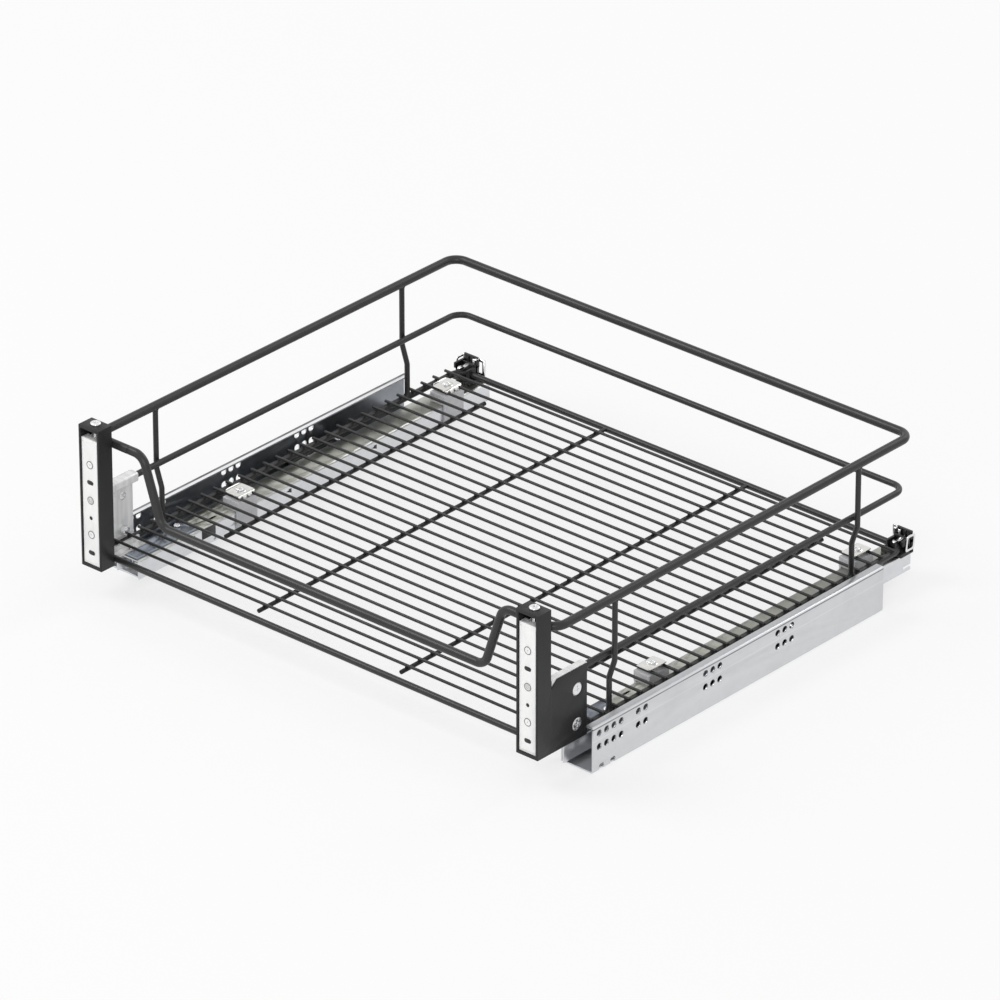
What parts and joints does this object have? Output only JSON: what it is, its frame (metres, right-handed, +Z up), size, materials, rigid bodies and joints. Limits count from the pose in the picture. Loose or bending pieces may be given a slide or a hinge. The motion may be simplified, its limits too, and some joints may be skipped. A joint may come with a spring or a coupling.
{
  "type": "pull-out drawer",
  "caption": "Wire basket drawer on concealed full-extension slides, with low front rail, front posts with adjustable fixing plates and side flanges for a base cabinet.",
  "frame": {"origin": "under the middle of the footprint, on the surface that the slides stand on", "axes": "+X to the right seen from the front, +Y towards the rear of the cabinet, +Z up"},
  "size_m": [0.564, 0.504, 0.1686],
  "materials": {
    "galvanised_steel": "zinc-plated sheet, satin",
    "bright_steel": "plain bright steel",
    "black_plastic": "fine matt moulding",
    "coloured_plastic": "smooth moulding",
    "pale_plastic": "smooth pale moulding",
    "dark_plate": "dark coated sheet",
    "dark_wire": "anthracite powder coat, satin",
    "black_steel": "black powder coat, satin",
    "white_steel": "white coated strip, satin",
    "cast_zinc": "pale grey cast zinc, matt"
  },
  "bodies": {
    "cabinet": {"cabinet_rail_left": "galvanised_steel", "cabinet_rail_right": "galvanised_steel", "closer_housing_left": "black_plastic", "closer_housing_right": "black_plastic", "damper_cylinder_left": "bright_steel", "damper_cylinder_right": "bright_steel", "closer_spring_left": "bright_steel", "closer_spring_right": "bright_steel"},
    "middle": {"middle_rail_left": "galvanised_steel", "middle_rail_right": "galvanised_steel"},
    "lower_cages": {"lower_cage_left": "pale_plastic", "lower_cage_right": "pale_plastic", "lower_rollers_left": "bright_steel", "lower_rollers_right": "bright_steel"},
    "upper_cages": {"upper_cage_left": "pale_plastic", "upper_cage_right": "pale_plastic", "upper_rollers_left": "bright_steel", "upper_rollers_right": "bright_steel"},
    "catch_left": {"closer_catch_left": "coloured_plastic", "damper_rod_left": "bright_steel"},
    "catch_right": {"closer_catch_right": "coloured_plastic", "damper_rod_right": "bright_steel"},
    "plate_left": {"front_plate_left": "white_steel"},
    "plate_right": {"front_plate_right": "white_steel"},
    "screw_left": {"height_screw_left": "bright_steel"},
    "screw_right": {"height_screw_right": "bright_steel"},
    "drawer": {"drawer_rail_left": "galvanised_steel", "drawer_rail_right": "galvanised_steel", "catch_pins": "bright_steel", "front_adapter_left": "dark_plate", "front_adapter_right": "dark_plate", "adapter_screws": "bright_steel", "rear_holder_left": "black_plastic", "rear_holder_right": "black_plastic", "rear_hook_left": "bright_steel", "rear_hook_right": "bright_steel", "clip_front_left": "pale_plastic", "clip_front_right": "pale_plastic", "clip_rear_left": "pale_plastic", "clip_rear_right": "pale_plastic", "clip_plates": "bright_steel", "clip_screws": "bright_steel", "top_rail": "dark_wire", "mid_rail": "dark_wire", "bottom_frame": "dark_wire", "front_bar": "dark_wire", "stanchion_front_left": "dark_wire", "stanchion_front_right": "dark_wire", "stanchion_rear_left": "dark_wire", "stanchion_rear_right": "dark_wire", "cross_wires": "dark_wire", "long_wires": "dark_wire", "short_wires": "dark_wire", "post_left": "black_steel", "post_right": "black_steel", "bracket_left": "cast_zinc", "bracket_right": "cast_zinc", "bracket_screws": "bright_steel"}
  },
  "joints": [
    {"name": "drawer_slide", "type": "slide", "parent": "cabinet", "child": "drawer", "axis": [0, -1, 0], "range_m": [0, 0.43]},
    {"name": "middle_slide", "type": "slide", "parent": "cabinet", "child": "middle", "axis": [0, -1, 0], "range_m": [0, 0.215]},
    {"name": "lower_cage_slide", "type": "slide", "parent": "cabinet", "child": "lower_cages", "axis": [0, -1, 0], "range_m": [0, 0.1075]},
    {"name": "upper_cage_slide", "type": "slide", "parent": "cabinet", "child": "upper_cages", "axis": [0, -1, 0], "range_m": [0, 0.3225]},
    {"name": "catch_slide_left", "type": "slide", "parent": "cabinet", "child": "catch_left", "axis": [0, -1, 0], "range_m": [0, 0.04]},
    {"name": "height_screw_turn_left", "type": "hinge", "parent": "drawer", "child": "screw_left", "pos_m": [-0.25335, -0.2427, 0.15], "axis": [0, 0, -1], "range_deg": [0, 1080]},
    {"name": "front_plate_lift_left", "type": "slide", "parent": "drawer", "child": "plate_left", "axis": [0, 0, 1], "range_m": [0, 0.003]},
    {"name": "catch_slide_right", "type": "slide", "parent": "cabinet", "child": "catch_right", "axis": [0, -1, 0], "range_m": [0, 0.04]},
    {"name": "height_screw_turn_right", "type": "hinge", "parent": "drawer", "child": "screw_right", "pos_m": [0.25335, -0.2427, 0.15], "axis": [0, 0, -1], "range_deg": [0, 1080]},
    {"name": "front_plate_lift_right", "type": "slide", "parent": "drawer", "child": "plate_right", "axis": [0, 0, 1], "range_m": [0, 0.003]}
  ],
  "couplings": [
    {"joint": "middle_slide", "follows": "drawer_slide", "ratio": 0.5},
    {"joint": "lower_cage_slide", "follows": "drawer_slide", "ratio": 0.25},
    {"joint": "upper_cage_slide", "follows": "drawer_slide", "ratio": 0.75},
    {"joint": "height_screw_turn_left", "follows": "front_plate_lift_left", "rad_per_m": 6283},
    {"joint": "height_screw_turn_right", "follows": "front_plate_lift_right", "rad_per_m": 6283}
  ]
}
